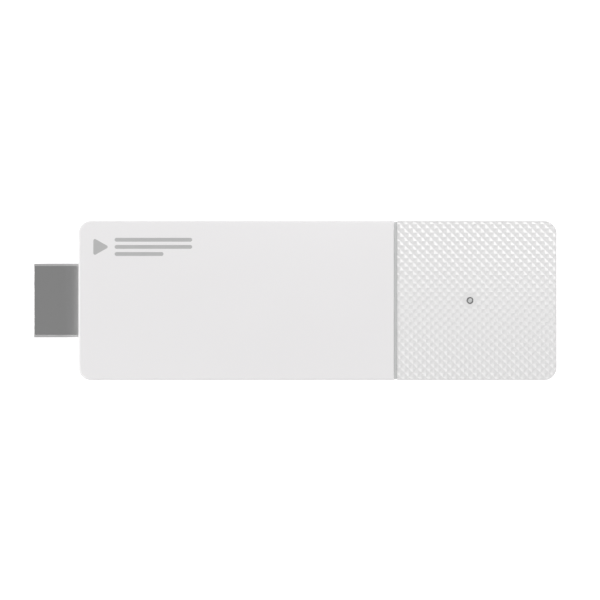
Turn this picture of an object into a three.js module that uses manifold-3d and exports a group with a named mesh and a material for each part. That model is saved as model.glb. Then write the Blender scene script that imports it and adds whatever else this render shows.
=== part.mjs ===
// A streaming media stick: a white two-shell body with a diamond-textured end cap, a male HDMI plug at one
// end and a USB-C power socket at the other, built as the assembly of its separate pieces.
// Millimetres. +X runs from the plug to the end cap, +Z is up, and the body stands on z = 0.
// The origin is the centre of the whole object's footprint, plug included.

import * as THREE from "three";
import { mergeVertices } from "three/addons/utils/BufferGeometryUtils.js";
import Module from "manifold-3d";

const wasm = await Module();
wasm.setup();

// ---- Driving dimensions -------------------------------------------------------------------------------

// The body, seen from above: the smooth part, a groove, then the textured end cap.
const BODY_LENGTH = 90;
const BODY_WIDTH = 30;
const BODY_HEIGHT = 14;
const CAP_LENGTH = 30;
const GROOVE_WIDTH = 0.6;
const GROOVE_DEPTH = 0.22;
const CORNER_RADIUS = 2.4;
const EDGE_RADIUS = 0.45;
const WALL = 1.5;

// The HDMI type A plug's outer size, with its reach in front of the body.
const PLUG_WIDTH = 13.9;
const PLUG_HEIGHT = 4.45;
const PLUG_REACH = 8.4;
const PLUG_SHELL_WALL = 0.3;

// Clearances: a fit between mouldings, a seat where one piece lies on another, and the parting line.
const FIT = 0.15;
const SEAT = 0.05;
const PARTING = 0.1;

// Where things are, worked out from the sizes above.
const HALF_WIDTH = BODY_WIDTH / 2;
const PLUG_TIP = -(BODY_LENGTH + PLUG_REACH) / 2;
const BODY_FRONT = PLUG_TIP + PLUG_REACH;
const BODY_END = -PLUG_TIP;
const CAP_START = BODY_END - CAP_LENGTH;
const SHELL_END = CAP_START - GROOVE_WIDTH;
const MIDDLE = BODY_HEIGHT / 2;
const INNER_HALF = HALF_WIDTH - WALL;
const ROOF = BODY_HEIGHT - WALL;
const FLOOR = WALL;

// The spigot that the two shells form together, which the end cap slides over.
const SPIGOT_GAP = FIT;
const SPIGOT_WALL = 1.2;
const SPIGOT_LENGTH = 6;
const SPIGOT_ROOT = SHELL_END - 1.2;
const SPIGOT_HALF = INNER_HALF - SPIGOT_GAP;
const SPIGOT_INSIDE = ROOF - SPIGOT_GAP - SPIGOT_WALL - MIDDLE;

// The board and the screws that hold it.
const BOARD_THICK = 1;
const BOARD_TOP = MIDDLE + BOARD_THICK / 2;
const BOARD_UNDER = MIDDLE - BOARD_THICK / 2;
const BOARD_HALF = 11.9;
const BOARD_FRONT = BODY_FRONT + 3.9;
const BOARD_END = BODY_END - 2.8;
const CHIP_SEAT = BOARD_TOP + SEAT;
const SCREW_SPOTS = [BODY_FRONT + 7.6, BODY_FRONT + 55.6].flatMap((x) => [
  [x, 9.4],
  [x, -9.4],
]);

// The HDMI contacts: ten above the tongue slot and nine below it.
const CONTACT_PITCH = 1;
const CONTACT_WIDTH = 0.35;
const CONTACT_THICK = 0.18;
const UPPER_CONTACTS = 10;
const LOWER_CONTACTS = 9;

// The USB-C socket, sunk into a notch at the board's end.
const USB_WIDTH = 8.94;
const USB_HEIGHT = 3.16;
const USB_WALL = 0.3;
const USB_FRONT = BODY_END - 0.4;
const USB_DEPTH = 7.3;

// The status light, on the centre line of the cap.
const LIGHT_X = BODY_FRONT + 73.7;
const LIGHT_HOLE = 1.25;
const LIGHT_TIP = 0.82;

// The reset key, in the upper shell's -Y wall, and the side switch behind it.
const KEY_X = BODY_FRONT + 49.8;
const KEY_Z = BOARD_TOP + 1.25;
const KEY_LENGTH = 4.2;
const KEY_HEIGHT = 1.6;
const SWITCH_FRONT = -11.6;
const SWITCH_BACK = -9.4;

// The snap hooks' places along the shells, and the hook's width.
const HOOK_SPOTS = [BODY_FRONT + 16.8, BODY_FRONT + 43];
const HOOK_WIDTH = 4;

// The shielded area of the board, and the heat plates above and below it.
const SHIELD = { x0: BODY_FRONT + 11.8, x1: BODY_FRONT + 41.8, half: 10.8, sheet: 0.2 };
const SHIELD_HEIGHT = 1.9;
const PLATE_THICK = 1;
const UPPER_PLATE = { x0: BODY_FRONT + 10.8, x1: BODY_FRONT + 54.8, half: 11.6, z: ROOF - 0.2 - PLATE_THICK };
const LOWER_PLATE = { x0: BODY_FRONT + 12.8, x1: BODY_FRONT + 42.8, half: 11.2, z: FLOOR + 0.5 };
const STAKE_SPOTS = [UPPER_PLATE.x0 + 2.4, UPPER_PLATE.x1 - 2.4].flatMap((x) => [
  [x, 10],
  [x, -10],
]);

// The label's shallow recess in the underside.
const LABEL = { x0: BODY_FRONT + 8, x1: BODY_FRONT + 50, half: 9.5, recess: 0.2, sheet: 0.1 };

// ---- Materials ----------------------------------------------------------------------------------------

const finish = (color, roughness, metalness = 0) =>
  new THREE.MeshStandardMaterial({ color, roughness, metalness });

const WHITE_PLASTIC = finish(0xebebea, 0.5);
const CAP_PLASTIC = finish(0xe9e9e8, 0.42);
const GREY_PLASTIC = finish(0xbcbfbe, 0.5);
const LENS = finish(0xd5d8d8, 0.25);
const PLUG_STEEL = finish(0x8a8a8a, 0.35, 1);
const BLACK_RESIN = finish(0x151515, 0.5);
const GOLD = finish(0xd9a441, 0.3, 1);
const SOLDER_MASK = finish(0x0e3b26, 0.4);
const CHIP_RESIN = finish(0x1b1b1d, 0.55);
const TIN_SHEET = finish(0xb9bbbd, 0.35, 1);
const HEAT_PAD = finish(0x7f93a6, 0.8);
const ALUMINIUM = finish(0xc4c6c8, 0.4, 1);
const FERRITE = finish(0x3a3a3c, 0.7);
const FOAM = finish(0x202020, 0.95);
const LABEL_FILM = finish(0xdcdcda, 0.6);
const SCREW_STEEL = finish(0x5c5e60, 0.35, 1);
const LED_EPOXY = finish(0xf0ead0, 0.3);

// ---- Making solids ------------------------------------------------------------------------------------

const QUARTER = Math.PI / 2;

// A closed geometry as a manifold-3d solid, for joining and cutting.
function solid(geometry) {
  const plain = (geometry.index ? geometry.toNonIndexed() : geometry.clone()).deleteAttribute("normal");
  const merged = mergeVertices(plain.deleteAttribute("uv"), 1e-4);
  return new wasm.Manifold(
    new wasm.Mesh({
      numProp: 3,
      vertProperties: merged.attributes.position.array,
      triVerts: new Uint32Array(merged.index.array),
    }),
  );
}

// A manifold-3d solid as a three.js geometry.
function geometryOf(made) {
  const mesh = made.getMesh();
  const positions = new Float32Array(mesh.numVert * 3);
  for (let i = 0; i < mesh.numVert; i++) {
    const at = i * mesh.numProp;
    positions.set(mesh.vertProperties.subarray(at, at + 3), i * 3);
  }
  const geometry = new THREE.BufferGeometry();
  geometry.setAttribute("position", new THREE.BufferAttribute(positions, 3));
  geometry.setIndex(new THREE.BufferAttribute(mesh.triVerts, 1));
  geometry.computeVertexNormals();
  return geometry;
}

const join = (first, ...rest) => rest.reduce((all, next) => all.add(next), first);
const cut = (first, ...rest) => rest.reduce((left, tool) => left.subtract(tool), first);

// A solid on the +Y side together with its mirror image on the -Y side.
const bothSides = (made) => [made, made.mirror([0, 1, 0])];

// A solid mirrored top to bottom about the body's middle height.
const turnedOver = (made) => made.translate([0, 0, -MIDDLE]).mirror([0, 0, 1]).translate([0, 0, MIDDLE]);

function box(x0, x1, y0, y1, z0, z1) {
  const geometry = new THREE.BoxGeometry(x1 - x0, y1 - y0, z1 - z0);
  return solid(geometry.translate((x0 + x1) / 2, (y0 + y1) / 2, (z0 + z1) / 2));
}

// A round bar along Z.
function bar(x, y, radius, z0, z1, sides = 24) {
  const geometry = new THREE.CylinderGeometry(radius, radius, z1 - z0, sides).rotateX(QUARTER);
  return solid(geometry.translate(x, y, (z0 + z1) / 2));
}

// A rectangle with the same radius at all four corners.
function roundedRectangle(a0, a1, b0, b1, radius) {
  const shape = new THREE.Shape();
  shape.moveTo(a0 + radius, b0);
  shape.lineTo(a1 - radius, b0).absarc(a1 - radius, b0 + radius, radius, -QUARTER, 0);
  shape.lineTo(a1, b1 - radius).absarc(a1 - radius, b1 - radius, radius, 0, QUARTER);
  shape.lineTo(a0 + radius, b1).absarc(a0 + radius, b1 - radius, radius, QUARTER, 2 * QUARTER);
  shape.lineTo(a0, b0 + radius).absarc(a0 + radius, b0 + radius, radius, 2 * QUARTER, 3 * QUARTER);
  return shape;
}

function outline(points) {
  return new THREE.Shape(points.map(([a, b]) => new THREE.Vector2(a, b)));
}

// An XY outline raised from z0 to z1, its edges rounded if a bevel is given.
function upward(shape, z0, z1, bevel = 0, curveSegments = 6) {
  const settings = {
    depth: z1 - z0 - 2 * bevel,
    curveSegments,
    bevelEnabled: bevel > 0,
    bevelThickness: bevel,
    bevelSize: bevel,
    bevelOffset: -bevel,
    bevelSegments: 3,
  };
  return solid(new THREE.ExtrudeGeometry(shape, settings).translate(0, 0, z0 + bevel));
}

// A (Y, Z) outline run along X.
function alongX(shape, x0, x1, curveSegments = 5) {
  const settings = { depth: x1 - x0, curveSegments, bevelEnabled: false };
  const turn = new THREE.Matrix4().makeBasis(
    new THREE.Vector3(0, 1, 0),
    new THREE.Vector3(0, 0, 1),
    new THREE.Vector3(1, 0, 0),
  );
  return solid(new THREE.ExtrudeGeometry(shape, settings).applyMatrix4(turn).translate(x0, 0, 0));
}

// An (X, Z) outline run along Y.
function alongY(shape, y0, y1, curveSegments = 5) {
  const settings = { depth: y1 - y0, curveSegments, bevelEnabled: false };
  const geometry = new THREE.ExtrudeGeometry(shape, settings).rotateX(QUARTER);
  return solid(geometry.translate(0, y1, 0));
}

const player = new THREE.Group();
player.name = "streaming_stick";

function add(name, made, material) {
  const mesh = new THREE.Mesh(geometryOf(made), material);
  mesh.name = name;
  player.add(mesh);
  return mesh;
}

// ---- Outlines that more than one piece shares -----------------------------------------------------------

// The whole body's outer form, before it is split at the groove and the parting line.
const envelope = upward(
  roundedRectangle(BODY_FRONT, BODY_END, -HALF_WIDTH, HALF_WIDTH, CORNER_RADIUS),
  0,
  BODY_HEIGHT,
  EDGE_RADIUS,
);

const INNER_CORNER = CORNER_RADIUS - WALL + 0.3;

// The plug's section, wide side up: straight sides, a slope inwards, then a narrow foot.
// Grow is positive for the hole it passes through, and negative for its inside.
function plugSection(grow) {
  const slope = 1.35;
  const radius = 0.45;
  const half = PLUG_WIDTH / 2 + grow;
  const foot = half - slope;
  const top = MIDDLE + PLUG_HEIGHT / 2 + grow;
  const under = MIDDLE - PLUG_HEIGHT / 2 - grow;
  const slopeTop = MIDDLE - 0.2;
  const slopeFoot = slopeTop - slope;
  const shape = new THREE.Shape();
  shape.moveTo(-foot + radius, under);
  shape.lineTo(foot - radius, under).absarc(foot - radius, under + radius, radius, -QUARTER, 0);
  shape.lineTo(foot, slopeFoot).lineTo(half, slopeTop);
  shape.lineTo(half, top - radius).absarc(half - radius, top - radius, radius, 0, QUARTER);
  shape.lineTo(-half + radius, top).absarc(-half + radius, top - radius, radius, QUARTER, 2 * QUARTER);
  shape.lineTo(-half, slopeTop).lineTo(-foot, slopeFoot);
  shape.lineTo(-foot, under + radius);
  shape.absarc(-foot + radius, under + radius, radius, 2 * QUARTER, 3 * QUARTER);
  return shape;
}

// A slot with round ends, in (Y, Z), for the USB-C socket.
function usbSection(grow) {
  const half = USB_WIDTH / 2 + grow;
  const tall = USB_HEIGHT / 2 + grow;
  return roundedRectangle(-half, half, MIDDLE - tall, MIDDLE + tall, tall - 0.01);
}

// The reset key's outline in (X, Z).
function keySection(grow) {
  const half = KEY_LENGTH / 2 + grow;
  const tall = KEY_HEIGHT / 2 + grow;
  return roundedRectangle(KEY_X - half, KEY_X + half, KEY_Z - tall, KEY_Z + tall, tall - 0.01);
}

// ---- Body: two shells, the divider ring and the end cap ---------------------------------------------------

// The smooth body as one hollow piece with its spigot, which the parting line then splits in two.
function smoothBody() {
  const outside = envelope.intersect(
    box(BODY_FRONT - 1, SHELL_END, -HALF_WIDTH - 1, HALF_WIDTH + 1, -1, BODY_HEIGHT + 1),
  );
  const spigotSection = roundedRectangle(
    -SPIGOT_HALF,
    SPIGOT_HALF,
    FLOOR + SPIGOT_GAP,
    ROOF - SPIGOT_GAP,
    0.8,
  );
  const spigotInside = roundedRectangle(
    -SPIGOT_HALF + SPIGOT_WALL,
    SPIGOT_HALF - SPIGOT_WALL,
    FLOOR + SPIGOT_GAP + SPIGOT_WALL,
    ROOF - SPIGOT_GAP - SPIGOT_WALL,
    0.5,
  );
  const spigotEnd = SHELL_END + GROOVE_WIDTH + SPIGOT_LENGTH;
  const cavity = upward(
    roundedRectangle(BODY_FRONT + WALL, SPIGOT_ROOT, -INNER_HALF, INNER_HALF, INNER_CORNER),
    FLOOR,
    ROOF,
  );
  const made = cut(
    join(outside, alongX(spigotSection, SPIGOT_ROOT, spigotEnd)),
    cavity,
    alongX(spigotInside, SPIGOT_ROOT - 0.5, spigotEnd + 1),
    alongX(plugSection(FIT), BODY_FRONT - 1, BODY_FRONT + WALL + 1),
  );
  return cut(made, ...snapWindows());
}

// A box at each place where the cap snaps to its spigot, two in the roof and two in the floor,
// from near to far off the middle height.
function atSnaps(halfLength, halfWidth, near, far) {
  const x = CAP_START + 3.2;
  return [7, -7].flatMap((y) => {
    const above = box(
      x - halfLength,
      x + halfLength,
      y - halfWidth,
      y + halfWidth,
      MIDDLE + near,
      MIDDLE + far,
    );
    return [above, turnedOver(above)];
  });
}

// The ridges on the cap, and the windows in the spigot that they click into.
const capRidges = () => atSnaps(0.4, 1.3, ROOF - MIDDLE - 0.55, ROOF - MIDDLE + 0.3);
const snapWindows = () => atSnaps(0.65, 1.55, SPIGOT_INSIDE - 1, ROOF - MIDDLE - 0.01);

const TONGUE_HEIGHT = 0.5;
const TONGUE_THICK = 0.6;
const REBATE_HEIGHT = TONGUE_HEIGHT + FIT;

// The strips inside both long walls where the shells key together: a tongue on the lower shell,
// which the upper shell's rebate clears by the play given.
function rimStrips(height, play) {
  return bothSides(
    box(
      BODY_FRONT + 13 - play,
      SPIGOT_ROOT - 2 + play,
      INNER_HALF - play,
      INNER_HALF + TONGUE_THICK + play,
      MIDDLE - 1,
      MIDDLE + height,
    ),
  );
}

// A snap hook hanging from the upper shell's +Y wall.
function hook(x) {
  const inner = INNER_HALF - 0.95;
  const outer = INNER_HALF - FIT;
  const tip = MIDDLE - 2.9;
  const section = outline([
    [inner, tip],
    [outer - 0.3, tip],
    [outer + 0.5, tip + 0.9],
    [outer + 0.5, tip + 1.2],
    [outer, tip + 1.5],
    [outer, MIDDLE + REBATE_HEIGHT + 0.2],
    [INNER_HALF + 0.1, MIDDLE + REBATE_HEIGHT + 0.2],
    [INNER_HALF + 0.1, MIDDLE + 2.4],
    [inner, MIDDLE + 1.8],
  ]);
  return alongX(section, x - HOOK_WIDTH / 2, x + HOOK_WIDTH / 2);
}

function upperShell() {
  const upperHalf = box(
    BODY_FRONT - 1,
    BODY_END,
    -HALF_WIDTH - 1,
    HALF_WIDTH + 1,
    MIDDLE + PARTING / 2,
    BODY_HEIGHT + 1,
  );
  const stakes = STAKE_SPOTS.flatMap(([x, y]) => [
    bar(x, y, 0.7, UPPER_PLATE.z - 0.4, ROOF + 0.2, 16),
    bar(x, y, 1.2, UPPER_PLATE.z - 0.6, UPPER_PLATE.z - 0.1, 16),
  ]);
  const hooks = HOOK_SPOTS.flatMap((x) => bothSides(hook(x)));
  const made = join(smoothBody().intersect(upperHalf), ...hooks, ...stakes);
  return cut(
    made,
    ...rimStrips(REBATE_HEIGHT, 0.1),
    alongY(keySection(0.1), -HALF_WIDTH - 1, -INNER_HALF + 1),
  );
}

function lowerShell() {
  const lowerHalf = box(
    BODY_FRONT - 1,
    BODY_END,
    -HALF_WIDTH - 1,
    HALF_WIDTH + 1,
    -1,
    MIDDLE - PARTING / 2,
  );
  const bosses = SCREW_SPOTS.map(([x, y]) => bar(x, y, 1.9, FLOOR - 0.2, BOARD_UNDER - SEAT));
  const pilots = SCREW_SPOTS.map(([x, y]) => bar(x, y, 0.85, FLOOR + 1, BODY_HEIGHT, 16));
  const reach = HOOK_WIDTH / 2 + 0.2;
  const catches = HOOK_SPOTS.flatMap((x) =>
    bothSides(box(x - reach, x + reach, INNER_HALF - 0.2, INNER_HALF + 0.6, MIDDLE - 2.7, MIDDLE - 1.2)),
  );
  const plateFeet = [LOWER_PLATE.x0 + 2, LOWER_PLATE.x1 - 2].flatMap((x) =>
    [8.6, -8.6].map((y) => bar(x, y, 1.3, FLOOR - 0.2, LOWER_PLATE.z - SEAT, 16)),
  );
  const boardRibs = [7.5, -7.5].map((y) =>
    box(SHELL_END, SHELL_END + 4.5, y - 0.5, y + 0.5, FLOOR + SPIGOT_GAP + 0.5, BOARD_UNDER - SEAT),
  );
  const recess = upward(
    roundedRectangle(LABEL.x0, LABEL.x1, -LABEL.half, LABEL.half, 1),
    -1,
    LABEL.recess,
  );
  const made = join(
    smoothBody().intersect(lowerHalf),
    ...rimStrips(TONGUE_HEIGHT - PARTING / 2, 0),
    ...bosses,
    ...plateFeet,
    ...boardRibs,
  );
  return cut(made, ...pilots, ...catches, recess);
}

function endCap() {
  const outside = envelope.intersect(
    box(CAP_START, BODY_END + 1, -HALF_WIDTH - 1, HALF_WIDTH + 1, -1, BODY_HEIGHT + 1),
  );
  const cavity = upward(
    roundedRectangle(CAP_START - 5, BODY_END - WALL, -INNER_HALF, INNER_HALF, INNER_CORNER),
    FLOOR,
    ROOF,
  );
  return cut(
    join(cut(outside, cavity), ...capRidges()),
    bar(LIGHT_X, 0, LIGHT_HOLE / 2, ROOF - 1, BODY_HEIGHT + 1),
    alongX(usbSection(FIT), BODY_END - WALL - 1, BODY_END + 1),
  );
}

// The grey band at the bottom of the groove, a closed loop round the spigot.
function dividerRing() {
  const x0 = SHELL_END + 0.02;
  const x1 = CAP_START - 0.02;
  const half = HALF_WIDTH - GROOVE_DEPTH;
  const hole = SPIGOT_HALF + 0.1;
  const drop = FLOOR + SPIGOT_GAP - 0.1;
  return cut(
    alongX(roundedRectangle(-half, half, GROOVE_DEPTH, BODY_HEIGHT - GROOVE_DEPTH, 0.35), x0, x1),
    alongX(roundedRectangle(-hole, hole, drop, BODY_HEIGHT - drop, 0.8), x0 - 1, x1 + 1),
  );
}

function ratingLabel() {
  const margin = 0.2;
  const shape = roundedRectangle(
    LABEL.x0 + margin,
    LABEL.x1 - margin,
    -LABEL.half + margin,
    LABEL.half - margin,
    0.8,
  );
  return upward(shape, LABEL.recess - SEAT - LABEL.sheet, LABEL.recess - SEAT);
}

add("upper_shell", upperShell(), WHITE_PLASTIC);
add("lower_shell", lowerShell(), WHITE_PLASTIC);
add("textured_end_cap", endCap(), CAP_PLASTIC);
add("divider_ring", dividerRing(), GREY_PLASTIC);
add("rating_label", ratingLabel(), LABEL_FILM);

// ---- Status light ---------------------------------------------------------------------------------------

// The light pipe carries the LED's light up to a small round tip in the cap's roof.
function lightPipe() {
  const tipTop = BODY_HEIGHT - 0.18;
  return join(
    bar(LIGHT_X, 0, 1.1, BOARD_TOP + 1.5, ROOF - 0.6),
    bar(LIGHT_X, 0, 1.8, ROOF - 0.9, ROOF - SEAT),
    bar(LIGHT_X, 0, LIGHT_TIP / 2, ROOF - 0.5, tipTop, 20),
  );
}

const statusLed = box(LIGHT_X - 0.8, LIGHT_X + 0.8, -0.4, 0.4, CHIP_SEAT, CHIP_SEAT + 0.6);

// A foam sleeve keeps the LED's light out of the rest of the case.
const ledSleeve = cut(
  bar(LIGHT_X, 0, 1.7, CHIP_SEAT, BOARD_TOP + 1.45),
  bar(LIGHT_X, 0, 1.05, CHIP_SEAT - 1, BOARD_TOP + 2),
);

add("light_pipe", lightPipe(), LENS);
add("status_led", statusLed, LED_EPOXY);
add("led_foam_sleeve", ledSleeve, FOAM);

// ---- HDMI plug --------------------------------------------------------------------------------------------

const PLUG_TAIL = BODY_FRONT + 3.4;

// The folded steel shell, with a solder foot at each side that stands on the board.
function plugShell() {
  const tube = cut(
    alongX(plugSection(0), PLUG_TIP, PLUG_TAIL),
    alongX(plugSection(-PLUG_SHELL_WALL), PLUG_TIP - 1, PLUG_TAIL + 1),
  );
  const outer = PLUG_WIDTH / 2;
  const inner = outer - PLUG_SHELL_WALL;
  const toe = PLUG_TAIL + 2.8;
  const leg = box(PLUG_TAIL - 1, toe, inner, outer, CHIP_SEAT, BOARD_TOP + 1.3);
  const foot = box(PLUG_TAIL + 0.6, toe, inner, outer + 0.9, CHIP_SEAT, CHIP_SEAT + PLUG_SHELL_WALL);
  return join(tube, ...bothSides(leg), ...bothSides(foot));
}

const SLOT_HALF_WIDTH = 5.7;
const SLOT_HALF_HEIGHT = 0.95;
const INSULATOR_FRONT = PLUG_TIP + 0.5;

// A contact's (X, Z) strip for the upper row: a sprung nose in the slot, a run back, a step to the board.
// The lower row is the same strip turned over.
function contactStrip(grow) {
  const t = CONTACT_THICK + grow;
  const run = SLOT_HALF_HEIGHT + 0.1;
  const seat = BOARD_THICK / 2 + SEAT;
  const nose = INSULATOR_FRONT + 0.7;
  const end = BOARD_FRONT + 2;
  return outline(
    [
      [nose - grow, run - t - 0.05],
      [nose + 1.1, run - t - 0.25],
      [nose + 2.4, run - t],
      [PLUG_TAIL - 0.35, run - t],
      [PLUG_TAIL + 0.1, seat - grow],
      [end, seat - grow],
      [end, seat + CONTACT_THICK],
      [PLUG_TAIL + 0.25, seat + CONTACT_THICK + grow],
      [PLUG_TAIL - 0.2, run + grow],
      [nose + 2.3, run + grow],
      [nose + 1.1, run - 0.25 + grow * 6],
      [nose - grow, run - 0.05 + grow * 2],
    ].map(([x, z]) => [x, MIDDLE + z]),
  );
}

function contact(row, index, grow = 0) {
  const count = row > 0 ? UPPER_CONTACTS : LOWER_CONTACTS;
  const y = (index - (count - 1) / 2) * CONTACT_PITCH;
  const half = CONTACT_WIDTH / 2 + grow;
  const made = alongY(contactStrip(grow), y - half, y + half);
  return row > 0 ? made : turnedOver(made);
}

const CONTACTS = [
  ...Array.from({ length: UPPER_CONTACTS }, (_, index) => [1, index]),
  ...Array.from({ length: LOWER_CONTACTS }, (_, index) => [-1, index]),
];

// The black resin block inside the shell, with the tongue slot and a channel for each contact.
function plugInsulator() {
  const block = alongX(plugSection(-PLUG_SHELL_WALL - 0.05), INSULATOR_FRONT, PLUG_TAIL - 0.05);
  const slot = box(
    INSULATOR_FRONT - 1,
    BODY_FRONT - 0.8,
    -SLOT_HALF_WIDTH,
    SLOT_HALF_WIDTH,
    MIDDLE - SLOT_HALF_HEIGHT,
    MIDDLE + SLOT_HALF_HEIGHT,
  );
  return cut(block, slot, ...CONTACTS.map(([row, index]) => contact(row, index, 0.04)));
}

add("plug_shell", plugShell(), PLUG_STEEL);
add("plug_insulator", plugInsulator(), BLACK_RESIN);
CONTACTS.forEach(([row, index], n) => {
  add(`plug_contact_${String(n + 1).padStart(2, "0")}`, contact(row, index), GOLD);
});

// ---- Main board -------------------------------------------------------------------------------------------

const USB_BACK = USB_FRONT - USB_DEPTH;

function mainBoard() {
  const sheet = upward(
    roundedRectangle(BOARD_FRONT, BOARD_END, -BOARD_HALF, BOARD_HALF, 1),
    BOARD_UNDER,
    BOARD_TOP,
    0,
    4,
  );
  const notchHalf = USB_WIDTH / 2 + 0.3;
  return cut(
    sheet,
    box(USB_BACK - 0.3, BOARD_END + 1, -notchHalf, notchHalf, 0, BODY_HEIGHT),
    ...SCREW_SPOTS.map(([x, y]) => bar(x, y, 0.95, 0, BODY_HEIGHT, 20)),
  );
}

// A component lying on the board's upper side.
function component({ x, y, size: [length, width, height] }) {
  return upward(
    roundedRectangle(x - length / 2, x + length / 2, y - width / 2, y + width / 2, 0.15),
    CHIP_SEAT,
    CHIP_SEAT + height,
    0,
    2,
  );
}

const SOC = { x: SHIELD.x0 + 11, y: 0, size: [13, 13, 1.2] };
const MEMORY = { x: SHIELD.x1 - 6.2, size: [10.4, 7.6, 1.05] };
const STORAGE = { x: SHIELD.x0 + 15, y: 0, size: [13, 11.5, 0.95] };

add("main_board", mainBoard(), SOLDER_MASK);
add("soc_chip", component(SOC), CHIP_RESIN);
add("memory_chip_1", component({ ...MEMORY, y: 4.8 }), CHIP_RESIN);
add("memory_chip_2", component({ ...MEMORY, y: -4.8 }), CHIP_RESIN);
add("storage_chip", turnedOver(component(STORAGE)), CHIP_RESIN);
add("clock_crystal", component({ x: SHIELD.x0 + 2.4, y: 6, size: [2.5, 3.2, 0.7] }), TIN_SHEET);
add("power_chip", component({ x: CAP_START + 6.8, y: 3.4, size: [5, 5, 0.85] }), CHIP_RESIN);
add("power_inductor_1", component({ x: CAP_START + 6.3, y: -3.4, size: [4, 4, 1.8] }), FERRITE);
add("power_inductor_2", component({ x: CAP_START + 19.5, y: 3.4, size: [3, 3, 1.5] }), FERRITE);
add("wifi_module", component({ x: SHIELD.x1 + 8, y: 0, size: [12, 12, 1.7] }), TIN_SHEET);

// ---- Shields and heat path -----------------------------------------------------------------------------

const shieldOutline = (inset, radius) =>
  roundedRectangle(
    SHIELD.x0 + inset,
    SHIELD.x1 - inset,
    -SHIELD.half + inset,
    SHIELD.half - inset,
    radius,
  );

// The soldered fence round the processor and its memory, open in the middle, with a pick-up bar across.
function shieldFrame() {
  const sheet = SHIELD.sheet;
  const top = CHIP_SEAT + SHIELD_HEIGHT;
  const rim = 1.4;
  const shape = shieldOutline(sheet + 0.05, 0.6);
  const fence = cut(
    upward(shape, CHIP_SEAT, top, 0, 3),
    upward(shieldOutline(2 * sheet + 0.05, 0.4), CHIP_SEAT - 1, top - sheet, 0, 3),
  );
  const barX = SHIELD.x1 - 12.2;
  return cut(
    fence,
    box(SHIELD.x0 + rim, barX - 0.6, -SHIELD.half + rim, SHIELD.half - rim, top - 1, top + 1),
    box(barX + 0.6, SHIELD.x1 - rim, -SHIELD.half + rim, SHIELD.half - rim, top - 1, top + 1),
  );
}

// The lid that clips over the fence.
function shieldLid() {
  const sheet = SHIELD.sheet;
  const inside = CHIP_SEAT + SHIELD_HEIGHT + SEAT;
  return cut(
    upward(shieldOutline(-sheet / 2, 0.9), CHIP_SEAT + 0.5, inside + sheet, 0, 3),
    upward(shieldOutline(sheet / 2, 0.7), CHIP_SEAT, inside, 0, 3),
  );
}

// The one-piece can under the board.
function lowerShieldCan() {
  const sheet = SHIELD.sheet;
  const drop = BOARD_UNDER - SEAT;
  return cut(
    upward(shieldOutline(0, 0.8), drop - SHIELD_HEIGHT, drop, 0, 3),
    upward(shieldOutline(sheet, 0.6), drop - SHIELD_HEIGHT + sheet, drop + 1, 0, 3),
  );
}

const lidTop = CHIP_SEAT + SHIELD_HEIGHT + SEAT + SHIELD.sheet;
const canUnder = BOARD_UNDER - SEAT - SHIELD_HEIGHT;

function heatPad(x0, x1, half, z0, z1) {
  return upward(roundedRectangle(x0, x1, -half, half, 0.6), z0, z1, 0, 2);
}

function heatPlate({ x0, x1, half, z }) {
  return upward(roundedRectangle(x0, x1, -half, half, 1.5), z, z + PLATE_THICK, 0, 4);
}

// The holes that the upper plate's heat stakes pass through.
const stakeHoles = STAKE_SPOTS.map(([x, y]) => bar(x, y, 0.9, UPPER_PLATE.z - 1, ROOF, 16));

add("shield_frame", shieldFrame(), TIN_SHEET);
add("shield_lid", shieldLid(), TIN_SHEET);
add("lower_shield_can", lowerShieldCan(), TIN_SHEET);
add(
  "processor_heat_pad",
  heatPad(SOC.x - 5.5, SOC.x + 5.5, 5.5, CHIP_SEAT + SOC.size[2] + SEAT, lidTop - SHIELD.sheet - SEAT),
  HEAT_PAD,
);
add(
  "upper_heat_pad",
  heatPad(SHIELD.x0 + 2, SHIELD.x0 + 22, 8.4, lidTop + SEAT, UPPER_PLATE.z - SEAT),
  HEAT_PAD,
);
add(
  "lower_heat_pad",
  heatPad(SHIELD.x0 + 5, SHIELD.x0 + 25, 8.4, LOWER_PLATE.z + PLATE_THICK + SEAT, canUnder - SEAT),
  HEAT_PAD,
);
add("upper_heat_plate", cut(heatPlate(UPPER_PLATE), ...stakeHoles), ALUMINIUM);
add("lower_heat_plate", heatPlate(LOWER_PLATE), ALUMINIUM);

// ---- Antennas -------------------------------------------------------------------------------------------

// A folded sheet antenna for the +Y edge: a slotted plate on a feed leg and a ground leg.
function antenna() {
  const x0 = CAP_START + 4.8;
  const x1 = x0 + 15;
  const y0 = BOARD_HALF - 5;
  const y1 = BOARD_HALF - 0.4;
  const top = BOARD_TOP + 3.4;
  const sheet = 0.3;
  const plate = cut(
    box(x0, x1, y0, y1, top - sheet, top),
    box(x0 + 3, x1 - 2.5, y0 + 1.6, y0 + 2.4, top - 1, top + 1),
  );
  const legs = [x0, x0 + 4.2].map((x) => box(x, x + 1.2, y1 - sheet, y1, CHIP_SEAT, top));
  return join(plate, ...legs);
}

const [leftAntenna, rightAntenna] = bothSides(antenna());
add("antenna_left", leftAntenna, TIN_SHEET);
add("antenna_right", rightAntenna, TIN_SHEET);

// ---- USB-C power socket --------------------------------------------------------------------------------

function usbShell() {
  const tube = cut(
    alongX(usbSection(0), USB_BACK, USB_FRONT, 6),
    alongX(usbSection(-USB_WALL), USB_BACK - 1, USB_FRONT + 1, 6),
  );
  const legs = [USB_BACK + 1, USB_BACK + 4].flatMap((x) =>
    bothSides(
      box(x, x + 1, USB_WIDTH / 2 - 0.25, USB_WIDTH / 2 + 1.3, CHIP_SEAT, CHIP_SEAT + USB_WALL),
    ),
  );
  return join(tube, ...legs);
}

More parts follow.
